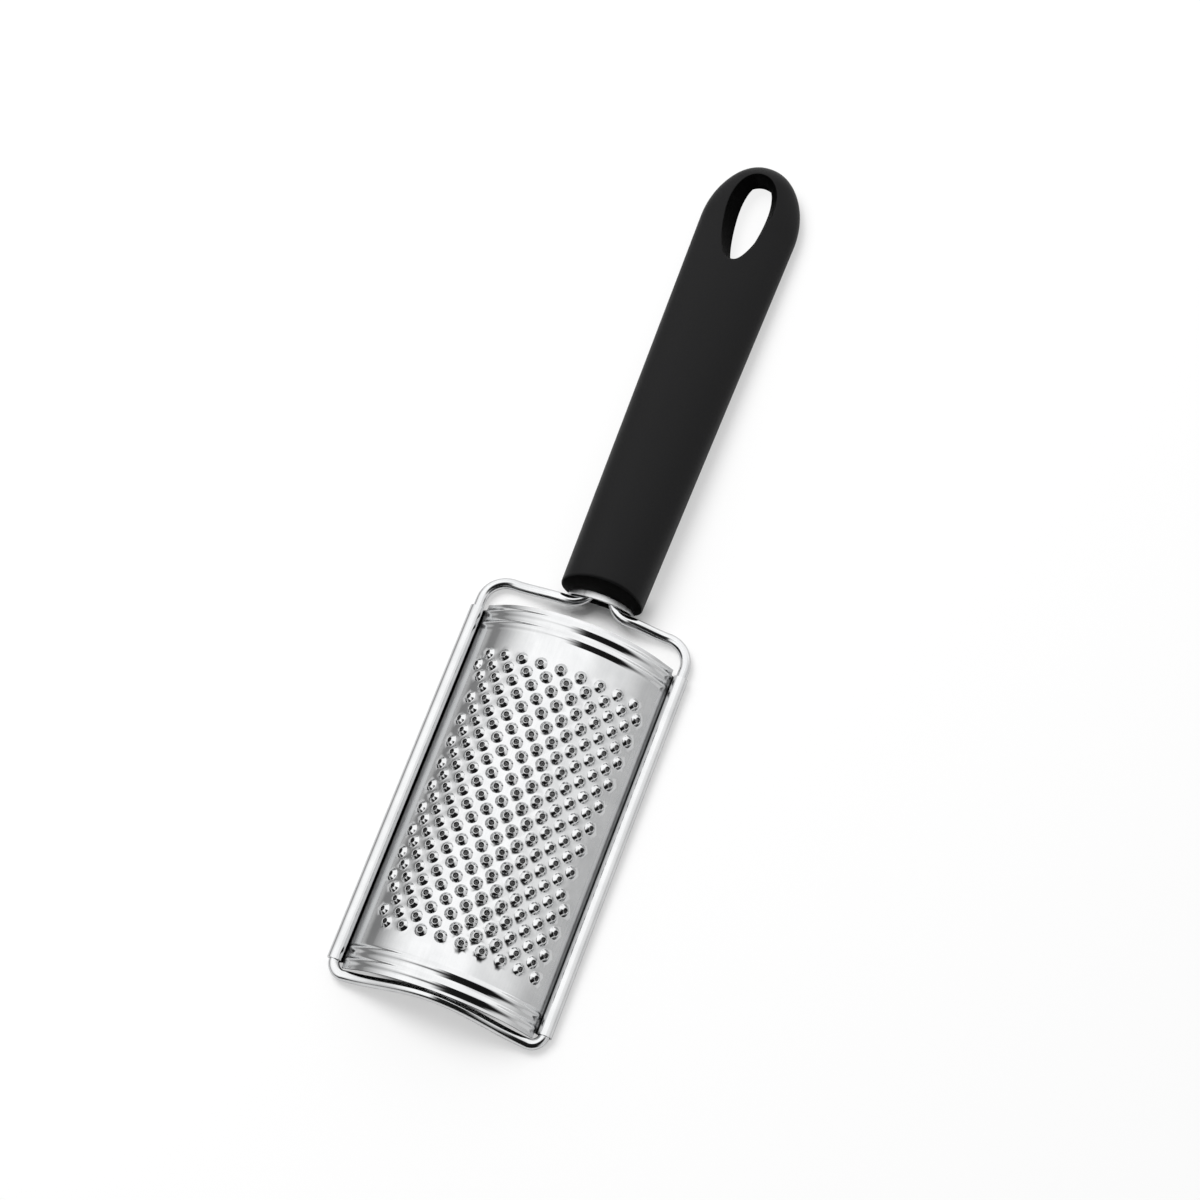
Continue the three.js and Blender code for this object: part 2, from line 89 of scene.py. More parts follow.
class Link:
    """One output in a node tree; arithmetic on it adds Math nodes to that tree."""

    def __init__(self, tree, socket=None):
        self.tree = tree
        self.socket = socket

    def node(self, kind, settings=None, sockets=None, out=0):
        made = self.tree.nodes.new(kind)
        for name, value in (settings or {}).items():
            if name == "stops":
                stops = made.color_ramp.elements
                while len(stops) < len(value):
                    stops.new(0.5)
                for stop, (place, colour) in zip(stops, value):
                    stop.position = place
                    stop.color = colour
            else:
                setattr(made, name, value)
        for key, value in (sockets or {}).items():
            for one in value if isinstance(value, list) else [value]:
                if isinstance(one, Link):
                    self.tree.links.new(one.socket, made.inputs[key])
                else:
                    made.inputs[key].default_value = one
        return Link(self.tree, made.outputs[out]) if len(made.outputs) else made

    def math(self, operation, first, second=0.0, third=0.0):
        return self.node("ShaderNodeMath", {"operation": operation}, {0: first, 1: second, 2: third})

    def __add__(self, other):
        return self.math("ADD", self, other)

    def __sub__(self, other):
        return self.math("SUBTRACT", self, other)

    def __mul__(self, other):
        return self.math("MULTIPLY", self, other)

    def __truediv__(self, other):
        return self.math("DIVIDE", self, other)

    def __rsub__(self, other):
        return self.math("SUBTRACT", other, self)

    __radd__ = __add__
    __rmul__ = __mul__


def new_tree(name, inputs):
    """An empty geometry tree, its input links by name, and the identifiers of its inputs."""
    tree = bpy.data.node_groups.new(name, "GeometryNodeTree")
    tree.is_modifier = True
    tree.interface.new_socket("Geometry", in_out="OUTPUT", socket_type="NodeSocketGeometry")
    idents = {}
    for label, kind in inputs.items():
        idents[label] = tree.interface.new_socket(label, in_out="INPUT", socket_type=kind).identifier
    entry = tree.nodes.new("NodeGroupInput")
    return Link(tree), {label: Link(tree, entry.outputs[label]) for label in inputs}, idents


def grow(source, name, tree, idents, values):
    """Runs a geometry tree on an object and keeps the result as a plain mesh object."""
    modifier = source.modifiers.new(name, "NODES")
    modifier.node_group = tree
    for label, value in values.items():
        modifier[idents[label]] = value
    view = bpy.context.evaluated_depsgraph_get()
    mesh = bpy.data.meshes.new_from_object(source.evaluated_get(view))
    piece = bpy.data.objects.new(name, mesh)
    scene.collection.objects.link(piece)
    source.modifiers.remove(modifier)
    bpy.data.objects.remove(source)
    return piece


def ease(part):
    """Smooth step from 0 to 1."""
    part = min(1, max(0, part))
    return part * part * (3 - 2 * part)


def half_wire(aside):
    """Points from a leg's inner end to the middle of the tip arch, on the +X side."""
    points = []
    leg_x = aside + LEG_SPREAD / 2
    leg_z = hem_z + LEG_RISE
    leg_end = leg_x + LEG_BEND
    neck_end = hem_x - NECK_BEND

    def slope(x):
        return leg_z + (hem_z - leg_z) * ease((x - leg_end) / (neck_end - leg_end))

    def swell(x):
        return math.cos(math.pi * x / (2 * hem_x)) ** 2

    def rise(x):
        return hem_z + TIP_ARCH * swell(x)

    def bend(cx, cy, radius, start, stop, height):
        for i in range(BEND_STEPS + 1):
            a = math.radians(start + (stop - start) * i / BEND_STEPS)
            x = cx + radius * math.cos(a)
            points.append((x, cy + radius * math.sin(a), height(x)))

    for i in range(LEG_STEPS):
        y = front_y + LEG_DEPTH + (neck_y + LEG_BEND - front_y - LEG_DEPTH) * i / LEG_STEPS
        points.append((leg_x, y, leg_z))
    bend(leg_end, neck_y + LEG_BEND, LEG_BEND, 180, 270, slope)
    for i in range(1, NECK_STEPS):
        x = leg_end + (neck_end - leg_end) * i / NECK_STEPS
        points.append((x, neck_y, slope(x)))
    bend(neck_end, neck_y - NECK_BEND, NECK_BEND, 90, 0, slope)
    bend(hem_x - TIP_BEND, tip_y + TIP_BEND, TIP_BEND, 0, -90, rise)
    for i in range(1, ARCH_STEPS + 1):
        x = (hem_x - TIP_BEND) * (1 - i / ARCH_STEPS)
        points.append((x, tip_y + TIP_BOW * swell(x), rise(x)))
    return points


def wire_path():
    """The wire's middle line from one leg's end to the other's, as a curve object."""
    right = half_wire(HANDLE_ASIDE)
    left = [(-x, y, z) for x, y, z in half_wire(-HANDLE_ASIDE)[:-1]]
    points = right + left[::-1]
    curve = bpy.data.curves.new("wire_path", "CURVE")
    curve.dimensions = "3D"
    spline = curve.splines.new("POLY")
    spline.points.add(len(points) - 1)
    for place, point in zip(spline.points, points):
        place.co = (*(c * MM for c in point), 1)
    path = bpy.data.objects.new("wire_path", curve)
    scene.collection.objects.link(path)
    return path


def new_finish(name):
    """A material, a link for its tree, and its surface shader."""
    finish = bpy.data.materials.new(name)
    finish.use_nodes = True
    tree = finish.node_tree
    return finish, Link(tree), tree.nodes["Principled BSDF"]


def feed(shader, colour, rough, dent):
    """Joins a finish's colour, roughness and dents to its surface shader."""
    for label, link in (("Base Color", colour), ("Roughness", rough), ("Normal", dent)):
        link.tree.links.new(link.socket, shader.inputs[label])


# Drawn wire keeps fine lines along its length, so the pattern follows the sweep.
wire_finish, net, shader = new_finish("drawn_wire")
along = net.node("ShaderNodeAttribute", {"attribute_name": "along"}, out=2)
around = net.node("ShaderNodeAttribute", {"attribute_name": "around"}, out=2)
drawn = net.node("ShaderNodeCombineXYZ", None, {
    0: along * DRAWN_LINES[0], 1: around * DRAWN_LINES[1], 2: 0.0})
lines = net.node("ShaderNodeTexNoise", None, {"Vector": drawn, "Scale": 1.0, "Detail": 2.0})
worn = net.node("ShaderNodeTexNoise", None, {
    "Vector": net.node("ShaderNodeTexCoord", out=3), "Scale": WIRE_WEAR, "Detail": 3.0})
tint = net.node("ShaderNodeValToRGB", {"stops": [(0.35, WIRE_SHADE), (0.6, WIRE_COLOUR)]}, {
    0: lines * 0.5 + worn * 0.5})
dent = net.node("ShaderNodeBump", None, {"Strength": 0.12, "Distance": 0.00004, "Height": lines})
shader.inputs["Metallic"].default_value = 1
feed(shader, tint, worn * 0.1 + lines * 0.06 + 0.06, dent)

net, given, idents = new_tree("bent_wire", {
    "Path": "NodeSocketGeometry", "Radius": "NodeSocketFloat", "Sides": "NodeSocketInt",
    "Finish": "NodeSocketMaterial"})
run = net.node("GeometryNodeSplineParameter", out="Length")
path = net.node("GeometryNodeStoreNamedAttribute", {"data_type": "FLOAT", "domain": "POINT"}, {
    "Geometry": given["Path"], "Name": "along", "Value": run})
ring = net.node("GeometryNodeCurvePrimitiveCircle", None, {
    "Resolution": given["Sides"], "Radius": given["Radius"]})
around = net.node("GeometryNodeInputIndex") / given["Sides"] * (WIRE_GIRTH * MM)
ring = net.node("GeometryNodeStoreNamedAttribute", {"data_type": "FLOAT", "domain": "POINT"}, {
    "Geometry": ring, "Name": "around", "Value": around})
tube = net.node("GeometryNodeCurveToMesh", None, {"Curve": path, "Profile Curve": ring, "Fill Caps": True})
tube = net.node("GeometryNodeSetShadeSmooth", None, {"Geometry": tube})
tube = net.node("GeometryNodeRealizeInstances", None, {"Geometry": tube})
tube = net.node("GeometryNodeSetMaterial", None, {"Geometry": tube, "Material": given["Finish"]})
net.node("NodeGroupOutput", None, {"Geometry": tube})
wire = grow(wire_path(), "bent_wire_frame", net.tree, idents, {
    "Radius": (WIRE / 2 - WIRE_PLAY) * MM, "Sides": WIRE_SIDES, "Finish": wire_finish})
wire.data.set_sharp_from_angle(angle=math.radians(WIRE_CREASE))
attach(wire, "root")
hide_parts("wire_frame")

# Grating plate
# One stainless sheet: nubs are pushed up and pierced through it and two beads are pressed
# across each end while it is flat; then it is arched and its edges are rolled round the wire.
CROWN_HEIGHT = 16.8
FLANK_ANGLE = 47.25
HEM_INSET = 1.55
CORNER_NOTCH = 2.2
HEM_STOP = 150
NUB_PITCH = 5.62
ROW_PITCH = 3.27
ROW_STEP = 0.5267
FIELD_MARGIN = 7.68
FIELD_FROM_NECK = 14.9
FIELD_FROM_TIP = 13.6
NUB_BASE_RADIUS = 1.75
NUB_RIM_RADIUS = 0.8
NUB_HEIGHT = 0.8
NUB_WALL = 0.4
NUB_FOOT = 0.1
NUB_SIDES = 14
NUB_SKIRT = ((NUB_FOOT, 0, 0), (0, 0.03, 0), (-0.06, 0, 0.17))
NUB_LIP = ((0.15, 0.94), (0.1, 1), (0, 0.97), (-0.05, 0.87), (-0.26, 0.5))
# Marks on the lip's last two rings: rougher, and painted darker as shade in the hole.
NUB_TORN_AND_SHADE = (0.7, 1)
NUB_CLEAR = 0.45
BEAD_EDGE = 2.3
BEAD_PITCH = 3.5
BEAD_WIDTH = 3
BEAD_HEIGHT = 0.65
BEAD_MARGIN = 1.7
BEAD_FADE = 1.9
BEAD_ROOM = 0.4
FADE_ROOM = 1
FINE_STEP = 0.3
CROWN_STEP = 0.8
SIDE_STEP = 1.5
ROLL_STEP = 0.35
FIELD_STEP = 1.1
COLUMN_STEP = 1.25
COLUMN_SHIFT = 0.6
FIELD_GAP = 0.9
SIDE_GAP = 0.7
WELD = 0.02
ROLLED_LINES = (2600, 45, 0)
SOFT_STAINS = 160.0
CREASE_START = (-2.2, -1.5)
CREASE_STOP = (0.3, 1.2)
SCUFF_START = (-5.0, -3.5)
SHEET_COLOUR = (0.572, 0.576, 0.58, 1)
SHEET_SHADE = (0.52, 0.525, 0.53, 1)
# Painted shade: how much darker the crease beside each roll is painted.
CREASE_SHADE = 0.9

flank_angle = math.radians(FLANK_ANGLE)
crown_rise = CROWN_HEIGHT - SHEET / 2 - hem_z
flank_drop = hem_x * math.sin(flank_angle) - crown_rise * math.cos(flank_angle) - hem_radius
arch_radius = flank_drop / (1 - math.cos(flank_angle))
arch_z = CROWN_HEIGHT - SHEET / 2 - arch_radius
flank_length = hem_x * math.cos(flank_angle) - (hem_z - arch_z) * math.sin(flank_angle)
arch_half = arch_radius * flank_angle
sheet_half = arch_half + flank_length
notch = sheet_half - CORNER_NOTCH
field_half = sheet_half - FIELD_MARGIN
roll_end = sheet_half + hem_radius * (flank_angle + math.pi / 2 + math.radians(HEM_STOP))
nub_columns = 2 * (math.ceil(field_half / NUB_PITCH) + 1) + 1
nub_rows = math.floor((PLATE_LENGTH - FIELD_FROM_NECK - FIELD_FROM_TIP) / ROW_PITCH) + 1


def nub_middles():
    """Middles of the nubs on the flat layout, row by row from the neck."""
    middles = []
    for row in range(nub_rows):
        for n in range(-(nub_columns // 2), nub_columns // 2 + 1):
            s = (n - row * ROW_STEP % 1) * NUB_PITCH
            if abs(s) <= field_half:
                middles.append((s, plate_neck - FIELD_FROM_NECK - row * ROW_PITCH))
    return middles


def bead_rise(s, y):
    """Height of the pressed beads above the plain sheet."""
    size = ease((sheet_half - BEAD_MARGIN - abs(s)) / BEAD_FADE)
    wide = BEAD_WIDTH / 2
    from_end = min(y - plate_tip, plate_neck - y)
    rise = 0
    for turn in (0, 1):
        t = (from_end - BEAD_EDGE - turn * BEAD_PITCH) / wide
        if abs(t) < 1:
            rise += BEAD_HEIGHT * size * (0.5 + 0.5 * math.cos(math.pi * t))
    return rise


def steps_between(start, stop, step):
    count = max(1, round(abs(stop - start) / step))
    return [start + (stop - start) * i / count for i in range(count + 1)]


def flat_sheet():
    """Both skins of the sheet on its flat layout, with round openings for the nubs."""
    spots = []
    lows = []
    owner = []
    edges = []

    def add(s, y, low=None, nub=-1):
        spots.append((s, y))
        lows.append(low or (s, y))
        owner.append(nub)
        return len(spots) - 1

    middles = nub_middles()
    for nub, (ms, my) in enumerate(middles):
        ring = []
        for i in range(NUB_SIDES):
            t = 2 * math.pi * i / NUB_SIDES
            c, d = math.cos(t), math.sin(t)
            high = NUB_BASE_RADIUS + NUB_FOOT
            low = NUB_BASE_RADIUS - NUB_WALL
            ring.append(add(ms + high * c, my + high * d, (ms + low * c, my + low * d), nub))
        edges += [(ring[i], ring[(i + 1) % NUB_SIDES]) for i in range(NUB_SIDES)]

    hem_tip = plate_tip + HEM_INSET
    hem_neck = plate_neck - HEM_INSET
    fading = sheet_half - BEAD_MARGIN - BEAD_FADE - FADE_ROOM
    middle = steps_between(-fading, fading, CROWN_STEP)
    outer = steps_between(fading, notch, FINE_STEP)[1:]
    across = [-s for s in outer[::-1]] + middle + outer
    zone = BEAD_EDGE + BEAD_PITCH + BEAD_WIDTH / 2 + BEAD_ROOM
    ends = steps_between(0, zone, FINE_STEP)
    for s in across[1:-1]:
        for d in ends:
            add(s, plate_tip + d)
            add(s, plate_neck - d)
    along_side = [plate_tip, *steps_between(hem_tip, plate_tip + zone, FINE_STEP)]
    along_side += steps_between(plate_tip + zone, plate_neck - zone, SIDE_STEP)[1:-1]
    along_side += [*steps_between(plate_neck - zone, hem_neck, FINE_STEP), plate_neck]
    side_spots = {side: [add(side * notch, y) for y in along_side] for side in (-1, 1)}
    clear = (NUB_BASE_RADIUS + NUB_CLEAR) ** 2
    columns = steps_between(-notch, notch, COLUMN_STEP)
    low, high = plate_tip + zone + FIELD_GAP, plate_neck - zone - FIELD_GAP
    for r, y in enumerate(steps_between(low, high, FIELD_STEP)):
        near = [m for m in middles if abs(m[1] - y) < 2 * NUB_BASE_RADIUS]
        for s in columns[1:-1]:
            s = s + (COLUMN_SHIFT if r % 2 else 0)
            if s < notch - SIDE_GAP and all((s - ms) ** 2 + (y - my) ** 2 > clear for ms, my in near):
                add(s, y)

    found = delaunay_2d_cdt([Vector(p) for p in spots], edges, [], 0, 1e-6)
    kept = [origins[0] for origins in found[3]]
    faces = []
    for face in found[2]:
        a, b, c = (kept[i] for i in face)
        if owner[a] < 0 or not owner[a] == owner[b] == owner[c]:
            faces.append((a, b, c))

    for side in (-1, 1):
        inner = side_spots[side][1:-1]
        for s in steps_between(sheet_half, roll_end, ROLL_STEP):
            outer = [add(side * s, spots[i][1]) for i in inner]
            for i in range(len(inner) - 1):
                quad = (inner[i], outer[i], outer[i + 1], inner[i + 1])
                faces.append(quad if side > 0 else quad[::-1])
            inner = outer

    count = len(spots)
    verts = [(s, y, SHEET / 2 + bead_rise(s, y)) for s, y in spots]
    verts += [(s, y, bead_rise(*spots[i]) - SHEET / 2) for i, (s, y) in enumerate(lows)]
    sides = {}
    for face in faces:
        for i, corner in enumerate(face):
            sides[corner, face[(i + 1) % len(face)]] = True
    faces += [tuple(i + count for i in face[::-1]) for face in faces]
    cut = set()
    for a, b in sides:
        if (b, a) not in sides and (owner[a] < 0 or owner[a] != owner[b]):
            faces.append((b, a, a + count, b + count))
            cut.update(((min(a, b), max(a, b)), (min(a, b) + count, max(a, b) + count)))
    piece = new_piece("flat_sheet", verts, faces)
    for edge in piece.data.edges:
        edge.use_edge_sharp = tuple(sorted(edge.vertices)) in cut
    return piece


def new_piece(name, verts, faces):
    mesh = bpy.data.meshes.new(name)
    mesh.from_pydata([tuple(c * MM for c in v) for v in verts], [], faces)
    mesh.validate()
    piece = bpy.data.objects.new(name, mesh)
    scene.collection.objects.link(piece)
    return piece


def one_nub():
    """A cone with a short steep foot and a pierced top, whose ragged lip turns down into the hole; the lip's
    rings are marked for painted shade in the hole.
    """
    base, rim, high = NUB_BASE_RADIUS, NUB_RIM_RADIUS, NUB_HEIGHT
    top = SHEET / 2
    rings = [(base + out, top + lift + part * high) for out, lift, part in NUB_SKIRT]
    rings += [(rim + out, top + part * high) for out, part in NUB_LIP]
    rings += [(base - NUB_WALL, -top)]
    verts = []
    faces = []
    for r, (radius, height) in enumerate(rings):
        for i in range(NUB_SIDES):
            t = 2 * math.pi * i / NUB_SIDES
            verts.append((radius * math.cos(t), radius * math.sin(t), height))
            if r:
                a = (r - 1) * NUB_SIDES + i
                b = (r - 1) * NUB_SIDES + (i + 1) % NUB_SIDES
                faces.append((a, b, b + NUB_SIDES, a + NUB_SIDES))
    piece = new_piece("one_nub", verts, faces)
    torn = piece.data.attributes.new("torn", "FLOAT", "POINT")
    for ring, share in zip((len(rings) - 3, len(rings) - 2), NUB_TORN_AND_SHADE):
        for i in range(NUB_SIDES):
            torn.data[ring * NUB_SIDES + i].value = share
    return piece


def between(value, low, high):
    """Smooth step of a link, from 0 at low to 1 at high."""
    return value.node("ShaderNodeMapRange", {"interpolation_type": "SMOOTHSTEP"}, {
        0: value, 1: low, 2: high})


# Polished sheet: faint rolling lines along it and soft stains, read on the flat layout. The ragged
# lips inside the holes are rougher, and their colour is painted darker as shade in the holes. The flank is
# scuffed towards the crease beside each roll, and the crease is painted dark as shade in the groove.
sheet_finish, net, shader = new_finish("polished_sheet")
flat = net.node("ShaderNodeAttribute", {"attribute_name": "flat"}, out=1)
rolled = net.node("ShaderNodeVectorMath", {"operation": "MULTIPLY"}, {0: flat, 1: ROLLED_LINES})
lines = net.node("ShaderNodeTexNoise", None, {"Vector": rolled, "Scale": 1.0, "Detail": 3.0})
soft = net.node("ShaderNodeTexNoise", None, {"Vector": flat, "Scale": SOFT_STAINS, "Detail": 4.0})
tint = net.node("ShaderNodeValToRGB", {"stops": [(0.35, SHEET_SHADE), (0.62, SHEET_COLOUR)]}, {
    0: lines * 0.25 + soft * 0.75})
dent = net.node("ShaderNodeBump", None, {"Strength": 0.06, "Distance": 0.00006, "Height": lines * 0.2 + soft})
torn = net.node("ShaderNodeAttribute", {"attribute_name": "torn"}, out=2)
far = net.math("ABSOLUTE", net.node("ShaderNodeSeparateXYZ", None, {0: flat})) / MM - sheet_half
before = 1 - between(far, *CREASE_STOP)
crease_shade = between(far, *CREASE_START) * before
scuffed = between(far, *SCUFF_START) * before
# Painted shade: colour darkened on the lips in the holes and in the crease by each roll.
painted_shade_scale = (1 - torn * 0.8) * (1 - crease_shade * CREASE_SHADE)
tint = net.node("ShaderNodeVectorMath", {"operation": "SCALE"}, {0: tint, "Scale": painted_shade_scale})
shader.inputs["Metallic"].default_value = 1
feed(shader, tint, lines * 0.04 + soft * 0.07 + torn * 0.4 + scuffed * 0.2 + 0.045, dent)

net, given, idents = new_tree("stamped_plate", {
    "Sheet": "NodeSocketGeometry", "Nub": "NodeSocketObject",
    "Columns": "NodeSocketInt", "Rows": "NodeSocketInt",
    "Pitch": "NodeSocketFloat", "Row pitch": "NodeSocketFloat", "Row step": "NodeSocketFloat",
    "First row": "NodeSocketFloat", "Field half": "NodeSocketFloat", "Arch radius": "NodeSocketFloat",
    "Arch height": "NodeSocketFloat", "Arch half": "NodeSocketFloat", "Flank length": "NodeSocketFloat",
    "Roll radius": "NodeSocketFloat", "Roll x": "NodeSocketFloat", "Roll z": "NodeSocketFloat",
    "Finish": "NodeSocketMaterial"})
index = net.node("GeometryNodeInputIndex")
row = net.math("FLOOR", (index + 0.5) / given["Columns"])
column = index - row * given["Columns"] - net.math("FLOOR", given["Columns"] / 2)
nub_s = (column - net.math("FRACT", row * given["Row step"])) * given["Pitch"]
nub_y = given["First row"] - row * given["Row pitch"]
nubs = net.node("GeometryNodePoints", None, {
    "Count": given["Columns"] * given["Rows"],
    "Position": net.node("ShaderNodeCombineXYZ", None, {0: nub_s, 1: nub_y, 2: 0.0})})
spot = net.node("GeometryNodeInputPosition")
spot_s = net.node("ShaderNodeSeparateXYZ", None, {0: spot})
outside = net.math("GREATER_THAN", net.math("ABSOLUTE", spot_s), given["Field half"])
nubs = net.node("GeometryNodeDeleteGeometry", {"domain": "POINT"}, {"Geometry": nubs, "Selection": outside})
dome = net.node("GeometryNodeObjectInfo", None, {"Object": given["Nub"]}, out="Geometry")
nubs = net.node("GeometryNodeInstanceOnPoints", None, {"Points": nubs, "Instance": dome})
nubs = net.node("GeometryNodeRealizeInstances", None, {"Geometry": nubs})
plate = net.node("GeometryNodeJoinGeometry", None, {"Geometry": [given["Sheet"], nubs]})
plate = net.node("GeometryNodeMergeByDistance", None, {"Geometry": plate, "Distance": WELD * MM})
plate = net.node("GeometryNodeStoreNamedAttribute", {"data_type": "FLOAT_VECTOR", "domain": "POINT"}, {
    "Geometry": plate, "Name": "flat", "Value": net.node("GeometryNodeInputPosition")})
# Bending: s across the sheet runs over the arch, down a straight flank and round the roll.
place = net.node("GeometryNodeInputPosition")
split = net.node("ShaderNodeSeparateXYZ", None, {0: place}).socket.node
s, y, lift = (Link(net.tree, split.outputs[i]) for i in range(3))
side = net.math("SIGN", s)
far = net.math("ABSOLUTE", s)
lean = net.math("MINIMUM", far, given["Arch half"]) / given["Arch radius"]
straight = net.math("MINIMUM", net.math("MAXIMUM", far - given["Arch half"], 0.0), given["Flank length"])
past = net.math("MAXIMUM", far - given["Arch half"] - given["Flank length"], 0.0)
turn = lean - past / given["Roll radius"]
out_x = side * net.math("SINE", turn)
out_z = net.math("COSINE", turn)
rolls = net.math("GREATER_THAN", past, 0.0)
arch_at_x = side * (given["Arch radius"] * net.math("SINE", lean) + straight * net.math("COSINE", lean))
arch_at_z = given["Arch radius"] * net.math("COSINE", lean) - straight * net.math("SINE", lean)
arch_at_z = given["Arch height"] + arch_at_z
roll_at_x = side * given["Roll x"] - given["Roll radius"] * out_x
roll_at_z = given["Roll z"] - given["Roll radius"] * out_z
bent_x = arch_at_x * (1 - rolls) + roll_at_x * rolls + out_x * lift
bent_z = arch_at_z * (1 - rolls) + roll_at_z * rolls + out_z * lift
bent = net.node("ShaderNodeCombineXYZ", None, {0: bent_x, 1: y, 2: bent_z})
plate = net.node("GeometryNodeSetPosition", None, {"Geometry": plate, "Position": bent})
plate = net.node("GeometryNodeSetShadeSmooth", None, {"Geometry": plate})
plate = net.node("GeometryNodeRealizeInstances", None, {"Geometry": plate})
plate = net.node("GeometryNodeSetMaterial", None, {"Geometry": plate, "Material": given["Finish"]})
net.node("NodeGroupOutput", None, {"Geometry": plate})
nub = one_nub()
plate = grow(flat_sheet(), "stamped_grating_plate", net.tree, idents, {
    "Nub": nub, "Columns": nub_columns, "Rows": nub_rows, "Pitch": NUB_PITCH * MM,
    "Row pitch": ROW_PITCH * MM, "Row step": ROW_STEP, "First row": (plate_neck - FIELD_FROM_NECK) * MM,
    "Field half": field_half * MM, "Arch radius": arch_radius * MM, "Arch height": arch_z * MM,
    "Arch half": arch_half * MM, "Flank length": flank_length * MM, "Roll radius": hem_radius * MM,
    "Roll x": hem_x * MM, "Roll z": hem_z * MM, "Finish": sheet_finish})
bpy.data.objects.remove(nub)
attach(plate, "root")
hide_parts("grating_plate")

# Mouth strip
# A narrow strip of steel, sheared from sheet and bent to a half oval. It is pushed into
# a slot in the handle's mouth over the two legs, and its filed front edge shows.
MOUTH_WIDTH = 19
MOUTH_TOP = 8.8
MOUTH_FOOT = 1.8
MOUTH_SHEET = 0.65
MOUTH_SHOWS = 0.5
MOUTH_DEPTH = 18
MOUTH_BOW = 1
OVAL_STEPS = 48
STRIP_EDGE = 0.18
STRIP_CREASE = 40
STRIP_GRAIN = (900, 120, 900)
# Paler than the wire and sheet: painted highlight.
STRIP_HIGHLIT_COLOUR = (0.8, 0.805, 0.81, 1)
STRIP_HIGHLIT_SHADE = (0.68, 0.685, 0.69, 1)


def half_oval(inset):
    """Half oval of the mouth, from the +X foot over the top to the -X foot."""
    points = []
    for i in range(OVAL_STEPS + 1):
        t = math.pi * i / OVAL_STEPS
        x = HANDLE_ASIDE + (MOUTH_WIDTH / 2 - inset) * math.cos(t)
        points.append((x, MOUTH_FOOT + (MOUTH_TOP - MOUTH_FOOT - inset) * math.sin(t)))
    return points


def mouth_strip():
    """The bent strip, with its front edge bowed forward at the top."""
    outline = half_oval(0) + half_oval(MOUTH_SHEET)[::-1]
    tall = MOUTH_TOP - MOUTH_FOOT
    verts = [(x, front_y - MOUTH_SHOWS - MOUTH_BOW * (z - MOUTH_FOOT) / tall, z) for x, z in outline]
    verts += [(x, front_y + MOUTH_DEPTH, z) for x, z in outline]
    total = len(outline)
    faces = []
    for i in range(total):
        following = (i + 1) % total
        faces.append((i, i + total, following + total, following))
    for i in range(OVAL_STEPS):
        ends = (i, i + 1, total - 2 - i, total - 1 - i)
        faces.append(ends)
        faces.append(tuple(e + total for e in ends[::-1]))
    return new_piece("mouth_strip", verts, faces)


# Sheared strip: fine grain along its length, between two greys, both paler than the other steel as a painted
# highlight.
strip_finish, net, shader = new_finish("cut_strip")
spot = net.node("ShaderNodeTexCoord", out=3)
grain = net.node("ShaderNodeVectorMath", {"operation": "MULTIPLY"}, {0: spot, 1: STRIP_GRAIN})
lines = net.node("ShaderNodeTexNoise", None, {"Vector": grain, "Scale": 1.0, "Detail": 3.0})
tint = net.node("ShaderNodeValToRGB", {"stops": [(0.35, STRIP_HIGHLIT_SHADE), (0.65, STRIP_HIGHLIT_COLOUR)]}, {0: lines})
dent = net.node("ShaderNodeBump", None, {"Strength": 0.15, "Distance": 0.00005, "Height": lines})
shader.inputs["Metallic"].default_value = 1
feed(shader, tint, lines * 0.2 + 0.22, dent)

strip = mouth_strip()
strip.data.materials.append(strip_finish)
strip.data.shade_smooth()
strip.data.set_sharp_from_angle(angle=math.radians(STRIP_CREASE))
soften = strip.modifiers.new("filed_edges", "BEVEL")
soften.width = STRIP_EDGE * MM
soften.segments = 2
soften.limit_method = "ANGLE"
soften.angle_limit = math.radians(STRIP_CREASE)
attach(strip, "root")
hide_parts("mouth_arch")

# Handle
# One moulding in matt black plastic on the legs: a flat-bottomed oval, deep at the mouth and
# thin and wide at the rounded end, with an egg-shaped hang hole through it.
FRONT_WIDTH = 23.5
FRONT_HEIGHT = 16
FRONT_LEAN = 2.3
FRONT_BULGE = 3.2
FRONT_ROUND = 0.6
REAR_WIDTH = 28.2
REAR_HEIGHT = 9
UNDERCUT = 2.5
END_ROUND = 20
OVAL_POWER = 2.2
HOLE_LENGTH = 26.9
HOLE_WIDTH = 7.7
HOLE_EGG = 0.3
HOLE_FROM_END = 5.2
HOLE_RIM = 2.5
HOLE_EDGE = 0.4
HOLE_BLUNT = 0.77
HOLE_STRETCH = 0.3
HOLE_LEAN = 1.1
MOUTH_RECESS = 4
MOUTH_LIP = 1.3
FIT = 0.25
SLOT_FIT = 0.2
SLOT_OVERLAP = 0.5
CUT_ROOM = 1
HANDLE_SIDES = 112
HANDLE_STEP = 2.4
FACE_RINGS = (0.03, 0.15, 0.3, 0.45, 0.6, 0.75, 0.9)
EDGE_STEPS = 8
SIDE_START = 3
END_STEPS = 28
END_SHARE = 0.97
HOLE_SIDES = 96
HOLE_STEPS = 5
HANDLE_CREASE = 38
FACE_FRONT = 0.85
WALL_LEAN = 0.75
GRIP_PEBBLE = 3200.0
GRIP_CLOUD = 70.0
GRIP_SHINE = 0.13
SHADED_FACE_SHINE = 0.03
DULL_ROUGH = 0.6
GRIP_COLOUR = (0.004, 0.004, 0.0043, 1)
GRIP_PALE = (0.006, 0.006, 0.0063, 1)
# Colour of the painted-shade skin on the mouth's face and the hole's wall.
SHADED_FACE_COLOUR = (0.002, 0.002, 0.002, 1)
end_start = end_y - END_ROUND
hole_y = end_y - HOLE_FROM_END - HOLE_LENGTH / 2


